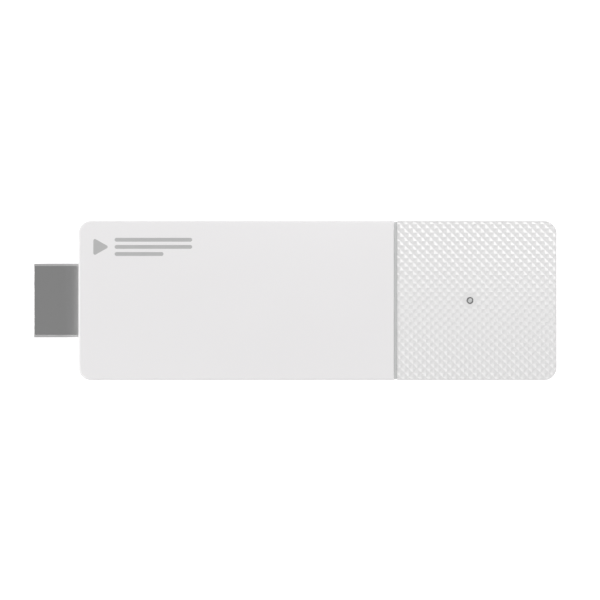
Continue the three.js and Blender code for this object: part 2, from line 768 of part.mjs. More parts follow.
// The resin block at the socket's back, with the tongue that carries the contacts.
function usbTongue() {
  const block = alongX(usbSection(-USB_WALL - 0.05), USB_BACK, USB_BACK + 1.9, 6);
  return join(block, box(USB_BACK + 1, USB_FRONT - 0.9, -3.35, 3.35, MIDDLE - 0.35, MIDDLE + 0.35));
}

add("usb_shell", usbShell(), TIN_SHEET);
add("usb_tongue", usbTongue(), BLACK_RESIN);

// ---- Reset key and its switch ----------------------------------------------------------------------------

const FLANGE_OUT = -(INNER_HALF - FIT);
const FLANGE_IN = FLANGE_OUT + 0.5;
const STEM_IN = FLANGE_IN + 0.5;
const KEY_FACE = -HALF_WIDTH + 0.05;

// The key: a head flush with the wall, a flange that keeps it in, and a stem that meets the switch.
function resetKey() {
  const flange = box(
    KEY_X - KEY_LENGTH / 2 - 0.7,
    KEY_X + KEY_LENGTH / 2 + 0.7,
    FLANGE_OUT,
    FLANGE_IN,
    KEY_Z - KEY_HEIGHT / 2 - 0.45,
    KEY_Z + KEY_HEIGHT / 2 + 0.45,
  );
  return join(
    alongY(keySection(0), KEY_FACE, FLANGE_OUT + 0.1),
    flange,
    box(KEY_X - 0.6, KEY_X + 0.6, FLANGE_IN - 0.1, STEM_IN, KEY_Z - 0.4, KEY_Z + 0.4),
  );
}

const PLUNGER = { half: 0.75, tall: 0.5, back: SWITCH_FRONT + 0.7 };

function switchBody() {
  const top = 2 * KEY_Z - CHIP_SEAT;
  return cut(
    box(KEY_X - 2.2, KEY_X + 2.2, SWITCH_FRONT, SWITCH_BACK, CHIP_SEAT, top),
    box(
      KEY_X - PLUNGER.half - 0.1,
      KEY_X + PLUNGER.half + 0.1,
      SWITCH_FRONT - 1,
      PLUNGER.back + 0.5,
      KEY_Z - PLUNGER.tall - 0.1,
      KEY_Z + PLUNGER.tall + 0.1,
    ),
  );
}

// The steel bracket that clamps the switch together.
function switchCover() {
  const top = 2 * KEY_Z - CHIP_SEAT + SEAT;
  return cut(
    box(KEY_X - 2.45, KEY_X + 2.45, SWITCH_FRONT, SWITCH_BACK, CHIP_SEAT, top + 0.2),
    box(KEY_X - 2.25, KEY_X + 2.25, SWITCH_FRONT - 1, SWITCH_BACK + 1, CHIP_SEAT - 1, top),
  );
}

const switchPlunger = box(
  KEY_X - PLUNGER.half,
  KEY_X + PLUNGER.half,
  STEM_IN + SEAT,
  PLUNGER.back,
  KEY_Z - PLUNGER.tall,
  KEY_Z + PLUNGER.tall,
);

add("reset_key", resetKey(), WHITE_PLASTIC);
add("switch_body", switchBody(), BLACK_RESIN);
add("switch_cover", switchCover(), TIN_SHEET);
add("switch_plunger", switchPlunger, BLACK_RESIN);

// ---- Board screws ------------------------------------------------------------------------------------------

// A pan-head self-tapping screw with a cross recess, its head seated on the board.
function boardScrew(x, y) {
  const seat = BOARD_TOP + SEAT;
  const profile = [
    [0, FLOOR + 1.4],
    [0.35, FLOOR + 1.4],
    [0.75, FLOOR + 2.2],
    [0.75, seat],
    [1.5, seat],
    [1.5, seat + 0.45],
    [1.1, seat + 0.8],
    [0, seat + 0.85],
  ].map(([r, z]) => new THREE.Vector2(r, z));
  const turned = solid(new THREE.LatheGeometry(profile, 20).rotateX(QUARTER));
  const blade = 0.18;
  const span = 0.75;
  const made = cut(
    turned,
    box(-span, span, -blade, blade, seat + 0.4, seat + 2),
    box(-blade, blade, -span, span, seat + 0.4, seat + 2),
  );
  return made.translate([x, y, 0]);
}

SCREW_SPOTS.forEach(([x, y], n) => add(`board_screw_${n + 1}`, boardScrew(x, y), SCREW_STEEL));

export default player;
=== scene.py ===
import math

import bmesh
import bpy
from mathutils import Matrix, Vector


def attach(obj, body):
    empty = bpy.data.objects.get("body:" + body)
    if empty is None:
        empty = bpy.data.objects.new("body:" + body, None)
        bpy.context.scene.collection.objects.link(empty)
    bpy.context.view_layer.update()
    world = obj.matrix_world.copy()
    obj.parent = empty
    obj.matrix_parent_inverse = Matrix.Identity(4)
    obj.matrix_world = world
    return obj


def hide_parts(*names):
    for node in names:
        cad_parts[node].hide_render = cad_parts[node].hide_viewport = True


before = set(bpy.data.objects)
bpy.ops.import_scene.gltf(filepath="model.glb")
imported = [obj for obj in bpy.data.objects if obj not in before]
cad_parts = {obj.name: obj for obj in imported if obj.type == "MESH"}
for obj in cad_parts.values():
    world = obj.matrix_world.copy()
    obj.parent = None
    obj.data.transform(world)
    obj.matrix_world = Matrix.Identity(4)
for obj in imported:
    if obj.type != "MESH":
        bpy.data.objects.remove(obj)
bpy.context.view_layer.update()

# ---- The two body shells ---------------------------------------------------------------------------------
# The smooth body is two moulded shells of off-white ABS with a fine matt skin from a spark-eroded mould.
# They close along a parting line at mid height on a tongue and four snap hooks, and both run on into the
# spigot that the end cap slides over. Shapes are made in millimetres and scaled to metres when finished.

MM = 0.001
BODY_FRONT, BODY_END = -40.8, 49.2
BODY_HALF, BODY_HEIGHT = 15.0, 14.0
MIDDLE = BODY_HEIGHT / 2
SHELL_END, CAP_START = 18.6, 19.2
CORNER = 2.4
CORNER_STEPS = 14
EDGE = 0.45  # radius of the long top and bottom edges
EDGE_STEPS = 6
GROOVE_EDGE = 0.06  # radius of the edges that face the groove
PARTING = 0.1  # the gap along the parting line
PARTING_EDGE = 0.1
SKIN = 0.8  # the layer that is made here; the CAD node's own walls start inside it
OVERLAP = 0.2  # how far those walls run out into the skin
MEET = 0.01  # how far two solids pass through each other where they are joined or cut
HOLE_REACH = 2  # how far a hole's cutter runs in from the wall's face
CROWN = 0.9  # how far the top falls from its middle to its long edges
CROWN_ROOT, CROWN_FULL = MIDDLE + 1, 13.0  # the heights between which the fall grows to its full size
CROWN_STRIP = 1.0
ROOF_SKIN = BODY_HEIGHT - CROWN - 0.5


def rounded(corners, radii, steps):
    """A polygon's outline with each corner rounded to its radius, as points in the same order."""
    points = []
    for n, (corner, radius) in enumerate(zip(corners, radii)):
        here = Vector(corner)
        back = (Vector(corners[n - 1]) - here).normalized()
        ahead = (Vector(corners[(n + 1) % len(corners)]) - here).normalized()
        half_angle = back.angle(ahead) / 2
        centre = here + (back + ahead).normalized() * radius / math.sin(half_angle)
        first = here + back * radius / math.tan(half_angle) - centre
        last = here + ahead * radius / math.tan(half_angle) - centre
        start = math.atan2(first.y, first.x)
        sweep = (math.atan2(last.y, last.x) - start + math.pi) % (2 * math.pi) - math.pi
        for step in range(steps + 1):
            turn = start + sweep * step / steps
            points.append((centre.x + radius * math.cos(turn), centre.y + radius * math.sin(turn)))
    return points


def new_object(name, builder):
    """An object in the scene from a bmesh, which is used up."""
    mesh = bpy.data.meshes.new(name)
    builder.to_mesh(mesh)
    builder.free()
    made = bpy.data.objects.new(name, mesh)
    bpy.context.scene.collection.objects.link(made)
    return made


def lofted(rings, closed=False):
    """A solid skinned over rings of points: capped at both ends, or closed on itself like a tube's wall."""
    builder = bmesh.new()
    rows = [[builder.verts.new(point) for point in ring] for ring in rings]
    pairs = zip(rows, rows[1:] + rows[:1]) if closed else zip(rows, rows[1:])
    for low, high in pairs:
        for i in range(len(low)):
            j = (i + 1) % len(low)
            builder.faces.new((low[i], low[j], high[j], high[i]))
    if not closed:
        builder.faces.new(rows[0][::-1])
        builder.faces.new(rows[-1])
    bmesh.ops.recalc_face_normals(builder, faces=builder.faces)
    return new_object("solid", builder)


def block(x0, x1, y0, y1, z0, z1):
    """A plain cutter or filler between the given limits."""
    ring = [(x0, y0), (x1, y0), (x1, y1), (x0, y1)]
    return lofted([[(x, y, z) for x, y in ring] for z in (z0, z1)])


def settle(solid):
    """Applies what the modifiers do to a solid's mesh."""
    bpy.context.view_layer.update()
    shown = solid.evaluated_get(bpy.context.evaluated_depsgraph_get())
    mesh = bpy.data.meshes.new_from_object(shown)
    solid.modifiers.clear()
    solid.data = mesh
    return solid


def combine(solid, operation, *others):
    """UNION, DIFFERENCE or INTERSECT of a solid with the others, which are used up."""
    for other in others:
        modifier = solid.modifiers.new("combine", "BOOLEAN")
        modifier.operation = operation
        modifier.solver = "MANIFOLD"
        modifier.object = other
        settle(solid)
        bpy.data.objects.remove(other)
    return solid


def cad_solid(node):
    """A copy of a CAD node's own solid, welded, in millimetres."""
    builder = bmesh.new()
    builder.from_mesh(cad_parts[node].data)
    bmesh.ops.transform(builder, matrix=Matrix.Scale(1 / MM, 4), verts=builder.verts)
    bmesh.ops.remove_doubles(builder, verts=builder.verts, dist=1e-4)
    solid = new_object("solid", builder)
    solid.data.attributes.remove(solid.data.attributes["custom_normal"])
    return solid


def finished(solid, name, material, slot, *replaced, body="housing", sharp=32):
    """Turns a solid in millimetres into a named piece that rides on its body."""
    solid.name = name
    solid.data.name = name
    solid.data.transform(Matrix.Scale(MM, 4))
    solid.data.shade_smooth()
    solid.data.set_sharp_from_angle(angle=math.radians(sharp))
    solid.data.materials.clear()
    solid.data.materials.append(material)
    weighting = solid.modifiers.new("face_weighted", "WEIGHTED_NORMAL")
    weighting.keep_sharp = True
    weighting.weight = 100
    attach(solid, body)
    if replaced:
        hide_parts(*replaced)
    return solid


def edge_levels(z0, z1, low_edge, high_edge):
    """Heights and insets of a wall with rounded edges, from its foot to its top."""
    turns = [math.radians(90 * step / EDGE_STEPS) for step in range(EDGE_STEPS + 1)]
    foot = [(z0 + low_edge * (1 - math.sin(t)), low_edge * (1 - math.cos(t))) for t in reversed(turns)]
    top = [(z1 - high_edge * (1 - math.sin(t)), high_edge * (1 - math.cos(t))) for t in turns]
    return foot + top


def body_skin(x0, x1, z0, z1, low_edge, high_edge, round_end):
    """The outer form of a stretch of the body. round_end is -1 or 1, the end with the large corners."""
    rings = []
    for z, inset in edge_levels(z0, z1, low_edge, high_edge):
        narrow = inset * GROOVE_EDGE / EDGE
        wide = CORNER - inset
        tight = GROOVE_EDGE - narrow / 2
        left, right = (inset, narrow) if round_end < 0 else (narrow, inset)
        left_radius, right_radius = (wide, tight) if round_end < 0 else (tight, wide)
        half = BODY_HALF - inset
        points = rounded(
            [(x1 - right, -half), (x1 - right, half), (x0 + left, half), (x0 + left, -half)],
            [right_radius, right_radius, left_radius, left_radius],
            CORNER_STEPS,
        )
        rings.append([(x, y, z) for x, y in points])
    return lofted(rings)


def crowned(solid, pitch):
    """Bends the top of a solid made flat into the body's shallow crown, in strips of the given pitch."""
    builder = bmesh.new()
    builder.from_mesh(solid.data)
    strips = math.ceil(BODY_HALF / pitch)
    for strip in range(-strips, strips + 1):
        geometry = builder.verts[:] + builder.edges[:] + builder.faces[:]
        bmesh.ops.bisect_plane(
            builder, geom=geometry, dist=1e-5, plane_co=(0, strip * pitch, 0), plane_no=(0, 1, 0)
        )
    for vert in builder.verts:
        share = min(1, max(0, (vert.co.z - CROWN_ROOT) / (CROWN_FULL - CROWN_ROOT)))
        vert.co.z -= CROWN * (vert.co.y / BODY_HALF) ** 2 * share
    builder.to_mesh(solid.data)
    builder.free()
    return solid


def with_inside(skin, node, x0, x1, z0, z1):
    """Hollows a skin out to its outer layer and puts the CAD node's walls, ribs and hooks inside it.
    The limits are those of the hollow: past the piece's own end wherever the piece is open."""
    half = BODY_HALF - SKIN
    grow = OVERLAP
    combine(skin, "DIFFERENCE", block(x0, x1, -half, half, z0, z1))
    kept = block(x0 - grow, x1 + grow, -half - grow, half + grow, z0 - grow, z1 + grow)
    return combine(skin, "UNION", combine(cad_solid(node), "INTERSECT", kept))


def surface(name, pale, dark, scale, roughness, metallic=0.0, pit_scale=9000, pit_depth=0.002):
    """A solid colour that drifts between two near shades, with a fine pitted or grained skin."""
    material = bpy.data.materials.new(name)
    material.use_nodes = True
    tree = material.node_tree
    shader = tree.nodes["Principled BSDF"]
    where = tree.nodes.new("ShaderNodeTexCoord")
    drift = tree.nodes.new("ShaderNodeTexNoise")
    drift.inputs["Scale"].default_value = scale
    drift.inputs["Detail"].default_value = 2
    shade = tree.nodes.new("ShaderNodeValToRGB")
    shade.color_ramp.elements[0].position = 0.3
    shade.color_ramp.elements[1].position = 0.7
    shade.color_ramp.elements[0].color = (*dark, 1)
    shade.color_ramp.elements[1].color = (*pale, 1)
    pits = tree.nodes.new("ShaderNodeTexNoise")
    pits.inputs["Scale"].default_value = pit_scale
    pits.inputs["Detail"].default_value = 3
    bump = tree.nodes.new("ShaderNodeBump")
    bump.inputs["Strength"].default_value = 0.35
    bump.inputs["Distance"].default_value = pit_depth * MM
    tree.links.new(where.outputs["Object"], drift.inputs["Vector"])
    tree.links.new(where.outputs["Object"], pits.inputs["Vector"])
    tree.links.new(drift.outputs["Fac"], shade.inputs["Fac"])
    tree.links.new(shade.outputs["Color"], shader.inputs["Base Color"])
    tree.links.new(pits.outputs["Fac"], bump.inputs["Height"])
    tree.links.new(bump.outputs["Normal"], shader.inputs["Normal"])
    shader.inputs["Roughness"].default_value = roughness
    shader.inputs["Metallic"].default_value = metallic
    return material


white_abs = surface("white_abs", (0.751, 0.741, 0.746), (0.741, 0.731, 0.736), 45, 0.4, pit_depth=0.003)

# The shells have holes for the video plug and the reset key, so these two outlines come first.
PLUG_HALF, PLUG_HALF_TALL = 6.95, 2.225
PLUG_UNDER, PLUG_TOP = MIDDLE - PLUG_HALF_TALL, MIDDLE + PLUG_HALF_TALL
PLUG_KNEE = MIDDLE - 0.2
PLUG_SLOPE = 1.35  # how far the sides slope in, and down, below the knee
PLUG_RADIUS, PLUG_BEND, PLUG_CREASE = 0.45, 0.3, 0.05
PLUG_BEVEL, PLUG_BEVEL_DROP = 0.43, 0.27
PLUG_BEND_STEPS = 6
PLUG_CLEARANCE = 0.15
LIP = 0.15


def plug_section(grow):
    """The plug's outline across the body, as (y, z): wide and bevelled at the top, with a narrow foot."""
    half = PLUG_HALF + grow
    foot = half - PLUG_SLOPE
    top, under = PLUG_TOP + grow, PLUG_UNDER - grow
    one_side = [
        (foot, under, PLUG_RADIUS + grow),
        (foot, PLUG_KNEE - PLUG_SLOPE, PLUG_BEND),
        (half, PLUG_KNEE, PLUG_BEND),
        (half, top - PLUG_BEVEL_DROP, PLUG_CREASE),
        (half - PLUG_BEVEL, top, PLUG_CREASE),
    ]
    corners = [(y, z) for y, z, _ in one_side] + [(-y, z) for y, z, _ in reversed(one_side)]
    radii = [radius for _, _, radius in one_side] + [radius for _, _, radius in reversed(one_side)]
    return rounded(corners, radii, PLUG_BEND_STEPS)


def socket_hole(section, x_face, outward, grow):
    """The cutter for a hole through an end wall, flared at the face so that its lip is rounded."""
    turns = [math.radians(90 * step / EDGE_STEPS) for step in range(EDGE_STEPS + 1)]
    flare = [(LIP * (1 - math.sin(t)), LIP * (1 - math.cos(t))) for t in reversed(turns)]
    levels = [(-MEET, LIP)] + flare + [(HOLE_REACH, 0)]
    return lofted([[(x_face - outward * back, y, z) for y, z in section(grow + out)] for back, out in levels])


KEY_X, KEY_Z = 9.0, 8.75
KEY_HALF, KEY_TALL = 2.1, 0.8
KEY_CLEARANCE = 0.1
KEY_LIP, KEY_LIP_WAIST = 0.08, 0.03
ROUND_END = 0.995  # an end's radius over its half height: just short of a full half circle
ROUND_END_STEPS = 10


def key_outline(grow):
    """The reset key's round-ended outline, as (x, z)."""
    tall = KEY_TALL + grow
    x0, x1 = KEY_X - KEY_HALF - grow, KEY_X + KEY_HALF + grow
    corners = [(x1, KEY_Z - tall), (x1, KEY_Z + tall), (x0, KEY_Z + tall), (x0, KEY_Z - tall)]
    return rounded(corners, [tall * ROUND_END] * 4, ROUND_END_STEPS)


def along_y(section, levels):
    """A solid run along Y through (y, growth) levels of a section that takes its growth."""
    return lofted([[(x, y, z) for x, z in section(grow)] for y, grow in levels])


key_hole_levels = [
    (-BODY_HALF - MEET, KEY_CLEARANCE + KEY_LIP),
    (-BODY_HALF + KEY_LIP_WAIST, KEY_CLEARANCE + KEY_LIP_WAIST),
    (-BODY_HALF + KEY_LIP, KEY_CLEARANCE),
    (-BODY_HALF + HOLE_REACH, KEY_CLEARANCE),
]
SPIGOT_ROOM = 8  # the spigot runs on past the shells' end by less than this

upper = body_skin(
    BODY_FRONT,
    SHELL_END + MEET,
    MIDDLE + PARTING / 2 - MEET,
    BODY_HEIGHT,
    PARTING_EDGE,
    EDGE,
    round_end=-1,
)
crowned(upper, CROWN_STRIP)
with_inside(upper, "upper_shell", BODY_FRONT + SKIN, SHELL_END + SPIGOT_ROOM, 0, ROOF_SKIN)
combine(upper, "DIFFERENCE", socket_hole(plug_section, BODY_FRONT, -1, PLUG_CLEARANCE))
combine(upper, "DIFFERENCE", along_y(key_outline, key_hole_levels))

lower = body_skin(
    BODY_FRONT,
    SHELL_END + MEET,
    0,
    MIDDLE - PARTING / 2 + MEET,
    EDGE,
    PARTING_EDGE,
    round_end=-1,
)
with_inside(lower, "lower_shell", BODY_FRONT + SKIN, SHELL_END + SPIGOT_ROOM, SKIN, BODY_HEIGHT)
combine(lower, "DIFFERENCE", socket_hole(plug_section, BODY_FRONT, -1, PLUG_CLEARANCE))

# The label's shallow recess in the underside, with a softened rim.
LABEL_X0, LABEL_X1, LABEL_HALF, LABEL_RECESS = -32.8, 9.2, 9.5, 0.2
LABEL_CORNER, LABEL_CORNER_STEPS = 1, 8


def label_ring(grow, z):
    """The label recess's outline, grown by a little, at a height."""
    x0, x1, half = LABEL_X0 - grow, LABEL_X1 + grow, LABEL_HALF + grow
    corners = [(x1, -half), (x1, half), (x0, half), (x0, -half)]
    points = rounded(corners, [LABEL_CORNER + grow] * 4, LABEL_CORNER_STEPS)
    return [(x, y, z) for x, y in points]


recess_levels = [(0.1, -MEET), (0.06, 0.02), (0.02, 0.06), (0, 0.12), (0, LABEL_RECESS)]
combine(lower, "DIFFERENCE", lofted([label_ring(grow, z) for grow, z in recess_levels]))

# ---- Maker's mark ----------------------------------------------------------------------------------------
# A plain grey mark, a play triangle beside three bars, is pad-printed near the plug end of the top face.
# It is laid as a hair-thin film in a recess of the same outline, just below the face.

MARK_X, MARK_Y = -38.0, 10.1
MARK_TALL = 3.4
MARK_DEPTH = 0.04
MARK_BELOW = 0.004
MARK_STEPS = 8
TRIANGLE_LONG, TRIANGLE_CORNER, TRIANGLE_STEPS = 3.0, 0.3, 6
BARS_FROM = MARK_X + 4.0
BAR_LENGTHS = (14.6, 14.6, 9.2)
BAR_TALL = 0.72
BAR_END = BAR_TALL * 0.495


def mark_outlines():
    """The triangle's outline, then each bar's."""
    half = MARK_TALL / 2
    triangle = [(MARK_X, MARK_Y + half), (MARK_X, MARK_Y - half), (MARK_X + TRIANGLE_LONG, MARK_Y)]
    outlines = [rounded(triangle, [TRIANGLE_CORNER] * 3, TRIANGLE_STEPS)]
    for row, length in enumerate(BAR_LENGTHS):
        y = MARK_Y + half - BAR_TALL / 2 - row * (MARK_TALL - BAR_TALL) / 2
        x0, x1 = BARS_FROM, BARS_FROM + length
        y0, y1 = y - BAR_TALL / 2, y + BAR_TALL / 2
        outlines.append(rounded([(x1, y0), (x1, y1), (x0, y1), (x0, y0)], [BAR_END] * 4, MARK_STEPS))
    return outlines


def mark_solid(z0, z1):
    """The whole mark, as a solid between two heights."""
    shapes = [lofted([[(x, y, z) for x, y in points] for z in (z0, z1)]) for points in mark_outlines()]
    return combine(shapes[0], "UNION", *shapes[1:])


combine(upper, "DIFFERENCE", crowned(mark_solid(BODY_HEIGHT - MARK_DEPTH, BODY_HEIGHT + 1), CROWN_STRIP))
grey_ink = surface("grey_ink", (0.42, 0.42, 0.42), (0.405, 0.405, 0.405), 300, 0.5)
mark = crowned(mark_solid(BODY_HEIGHT - MARK_DEPTH + MARK_BELOW, BODY_HEIGHT - MARK_BELOW), CROWN_STRIP)
finished(mark, "printed_mark", grey_ink, "grey_plastic")

finished(upper, "body_upper_shell", white_abs, "white_plastic", "upper_shell")
finished(lower, "body_lower_shell", white_abs, "white_plastic", "lower_shell")

# ---- Textured end cap ------------------------------------------------------------------------------------
# The square cap is one moulding that slides over the spigot and snaps on. Its top is covered with small
# square pyramids set corner to corner, cut into the mould, and a smooth round pad surrounds the light hole.

RELIEF_PITCH = 1.6
RELIEF_DEPTH = 0.1
RELIEF_X = 33.38  # a peak stands here, on the body's middle line
RELIEF_REACH = 24  # half pitches that the relief is made out to before it is trimmed
RELIEF_RIM = 0.17
RELIEF_ROOT = BODY_HEIGHT - 0.7
FIELD_CORNER, FIELD_CORNER_STEPS = 0.1, 10
CAP_EDGE = 0.2
LIGHT_X = 32.9
LIGHT_HOLE = 0.625
LIGHT_HOLE_LIP = 0.07
PAD_RADIUS = 1.35
PAD_BELOW = 0.1
PAD_SKIRT, PAD_SKIRT_DROP = 0.16, 0.12
PAD_EDGE, PAD_EDGE_DROP = 0.06, 0.02


def relief_field(grow, z):
    """The outline of the textured field, just inside the cap's rounded edge."""
    x0, x1 = CAP_START + GROOVE_EDGE - grow, BODY_END - RELIEF_RIM + grow
    half = BODY_HALF - RELIEF_RIM + grow
    radius = CORNER - RELIEF_RIM + grow
    radii = [radius, radius, FIELD_CORNER, FIELD_CORNER]
    points = rounded([(x1, -half), (x1, half), (x0, half), (x0, -half)], radii, FIELD_CORNER_STEPS)
    return [(x, y, z) for x, y in points]


def relief_sheet():
    """A slab whose top is the pyramids. Points half a pitch apart are peaks and valleys in turn."""
    step = RELIEF_PITCH / 2
    reach = RELIEF_REACH
    peak = BODY_HEIGHT - MEET / 2
    builder = bmesh.new()
    grid = {}
    for i in range(-reach, reach + 1):
        for j in range(-reach, reach + 1):
            z = peak if (i + j) % 2 == 0 else peak - RELIEF_DEPTH
            grid[i, j] = builder.verts.new((RELIEF_X + i * step, j * step, z))
    for i in range(-reach, reach):
        for j in range(-reach, reach):
            a, b, c, d = grid[i, j], grid[i + 1, j], grid[i + 1, j + 1], grid[i, j + 1]
            halves = ((a, b, d), (b, c, d)) if (i + j) % 2 == 0 else ((a, b, c), (a, c, d))
            for three in halves:
                builder.faces.new(three)
    rim = [edge for edge in builder.edges if edge.is_boundary]
    walls = bmesh.ops.extrude_edge_only(builder, edges=rim)["geom"]
    for vert in (v for v in walls if isinstance(v, bmesh.types.BMVert)):
        vert.co.z = RELIEF_ROOT - 1
    bmesh.ops.holes_fill(builder, edges=[edge for edge in builder.edges if edge.is_boundary])
    bmesh.ops.recalc_face_normals(builder, faces=builder.faces)
    return new_object("solid", builder)


def turned(x, y, profile, steps=40):
    """A solid turned on an upright axis, from (radius, height) pairs."""
    circle = [math.tau * step / steps for step in range(steps)]
    return lofted([[(x + r * math.cos(t), y + r * math.sin(t), z) for t in circle] for r, z in profile])


SOCKET_HALF, SOCKET_TALL = 4.47, 1.58
SOCKET_CLEARANCE = 0.15


def socket_section(grow):
    """The power socket's round-ended outline across the body, as (y, z)."""
    half, tall = SOCKET_HALF + grow, SOCKET_TALL + grow
    corners = [(half, MIDDLE - tall), (half, MIDDLE + tall), (-half, MIDDLE + tall), (-half, MIDDLE - tall)]
    return rounded(corners, [tall * ROUND_END] * 4, ROUND_END_STEPS)


cap = body_skin(CAP_START - MEET, BODY_END, 0, BODY_HEIGHT, EDGE, CAP_EDGE, round_end=1)
combine(cap, "DIFFERENCE", lofted([relief_field(0, z) for z in (RELIEF_ROOT + 0.05, BODY_HEIGHT + 1)]))
relief_edge = lofted([relief_field(MEET, z) for z in (RELIEF_ROOT, BODY_HEIGHT + 1)])
combine(cap, "UNION", combine(relief_sheet(), "INTERSECT", relief_edge))
pad_top = BODY_HEIGHT - PAD_BELOW
pad_flat = PAD_RADIUS - PAD_EDGE
pad_profile = [
    (PAD_RADIUS + PAD_SKIRT, RELIEF_ROOT + MEET),
    (PAD_RADIUS + PAD_SKIRT, pad_top - PAD_SKIRT_DROP),
    (PAD_RADIUS, pad_top - PAD_EDGE_DROP),
    (pad_flat, pad_top),
]
combine(cap, "DIFFERENCE", turned(LIGHT_X, 0, [(pad_flat, pad_top), (pad_flat, BODY_HEIGHT + 1)]))
combine(cap, "UNION", turned(LIGHT_X, 0, pad_profile))
crowned(cap, RELIEF_PITCH / 2)
with_inside(cap, "textured_end_cap", CAP_START - 2, BODY_END - SKIN, SKIN, ROOF_SKIN)
hole_profile = [
    (LIGHT_HOLE, BODY_HEIGHT - 3),
    (LIGHT_HOLE, pad_top - PAD_EDGE),
    (LIGHT_HOLE + PAD_EDGE_DROP, pad_top - PAD_EDGE_DROP),
    (LIGHT_HOLE + LIGHT_HOLE_LIP, pad_top + MEET),
    (LIGHT_HOLE + LIGHT_HOLE_LIP, BODY_HEIGHT + 1),
]
combine(cap, "DIFFERENCE", turned(LIGHT_X, 0, hole_profile))
combine(cap, "DIFFERENCE", socket_hole(socket_section, BODY_END, 1, SOCKET_CLEARANCE))

cap_abs = surface("cap_abs", (0.711, 0.706, 0.706), (0.701, 0.696, 0.696), 45, 0.3, pit_depth=0.0003)
cap_abs.node_tree.nodes["Principled BSDF"].inputs["Specular IOR Level"].default_value = 0.8
finished(cap, "end_cap", cap_abs, "cap_plastic", "textured_end_cap", sharp=4)

# ---- Divider ring ----------------------------------------------------------------------------------------
# A thin moulded ring of light grey ABS slips over the spigot before the cap goes on. It is held at the
# bottom of the groove and shows all the way round the body.

grey_abs = surface("grey_abs", (0.52, 0.525, 0.525), (0.505, 0.51, 0.51), 200, 0.5)


def dressed(node, material):
    """A CAD node that keeps its own shape and takes a finish."""
    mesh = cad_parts[node].data
    mesh.materials.clear()
    mesh.materials.append(material)


ring = crowned(cad_solid("divider_ring"), CROWN_STRIP)
finished(ring, "divider_strip", grey_abs, "grey_plastic", "divider_ring")

# ---- Status light ----------------------------------------------------------------------------------------
# A frosted acrylic pipe, with a collar under the cap's roof, stands over the light on the board in a sleeve
# of black foam. Its domed tip shows in the middle of the pad.

TIP_RADIUS = 0.47
TIP_TOP = BODY_HEIGHT - 0.18
TIP_DOME = 0.12
PIPE_RADIUS, PIPE_FOOT = 1.1, 9.0
COLLAR_RADIUS, COLLAR_FOOT, COLLAR_TOP = 1.8, 11.6, 12.45
dome_turns = [math.radians(degrees) for degrees in range(0, 85, 14)]
pipe_profile = [
    (PIPE_RADIUS, PIPE_FOOT),
    (PIPE_RADIUS, COLLAR_FOOT),
    (COLLAR_RADIUS, COLLAR_FOOT),
    (COLLAR_RADIUS, COLLAR_TOP),
    (TIP_RADIUS, COLLAR_TOP),
    *[(TIP_RADIUS * math.cos(t), TIP_TOP - TIP_DOME * (1 - math.sin(t))) for t in dome_turns],
]
frosted = surface("frosted_acrylic", (0.50, 0.51, 0.51), (0.47, 0.48, 0.48), 900, 0.3)
finished(turned(LIGHT_X, 0, pipe_profile), "light_tip", frosted, "clear_resin", "light_pipe")

dressed("status_led", surface("led_epoxy", (0.85, 0.8, 0.6), (0.8, 0.72, 0.45), 3000, 0.25))
black_foam = surface("black_foam", (0.03, 0.03, 0.03), (0.01, 0.01, 0.01), 6000, 0.95, pit_depth=0.03)
dressed("led_foam_sleeve", black_foam)

# ---- Video plug ------------------------------------------------------------------------------------------
# The plug's shell is folded from 0.3 mm nickel-plated sheet, with a lip rolled at the mouth, a seam along
# the underside and a solder leg at each side. A black resin block inside it carries nineteen contacts.

PLUG_TIP, PLUG_TAIL = -49.2, -37.4
SHEET = 0.3
SHEET_LIP_STEPS = 8
BOARD_TOP = 7.5
SEAT = 0.05
LEG_BACK, LEG_FRONT, LEG_TALL = PLUG_TAIL + 2.8, PLUG_TAIL - 1, 1.2
FOOT_FRONT, FOOT_OUT = PLUG_TAIL + 0.6, 0.9
SEAM_HALF = 0.03


def sheet_tube(section, x_back, x_front, sheet):
    """A tube of sheet metal along X whose front lip is rounded over, as a solid wall."""
    forward = math.copysign(1, x_front - x_back)
    turns = [math.radians(180 * step / SHEET_LIP_STEPS) for step in range(SHEET_LIP_STEPS + 1)]
    lip = [(forward * (1 - math.sin(t)), math.cos(t) - 1) for t in turns]
    levels = [(x_back, 0)]
    levels += [(x_front - sheet / 2 * back, sheet / 2 * inward) for back, inward in lip]
    levels += [(x_back, -sheet)]
    return lofted([[(x, y, z) for y, z in section(grow)] for x, grow in levels], closed=True)


plug = sheet_tube(plug_section, PLUG_TAIL, PLUG_TIP, SHEET)
for side in (1, -1):
    outer = side * (PLUG_HALF - MEET)
    inner = side * (PLUG_HALF - SHEET + MEET)
    toe = side * (PLUG_HALF + FOOT_OUT)
    seat = BOARD_TOP + SEAT
    leg = block(LEG_FRONT, LEG_BACK, min(outer, inner), max(outer, inner), seat, seat + LEG_TALL)
    foot = block(FOOT_FRONT, LEG_BACK, min(toe, inner), max(toe, inner), seat, seat + SHEET)
    combine(plug, "UNION", leg, foot)
seam_top = PLUG_UNDER + SHEET + 0.1
seam = block(PLUG_TIP - 1, PLUG_TAIL + 1, -SEAM_HALF, SEAM_HALF, PLUG_UNDER - 1, seam_top)
combine(plug, "DIFFERENCE", seam)

# Painted reflection: the grey is painted paler next to the body, for its bright wall: (place along X, grey).
PLUG_PAINTED_REFLECTION = ((-43.7, 0.59), (-42.3, 0.655), (-41.5, 0.715))


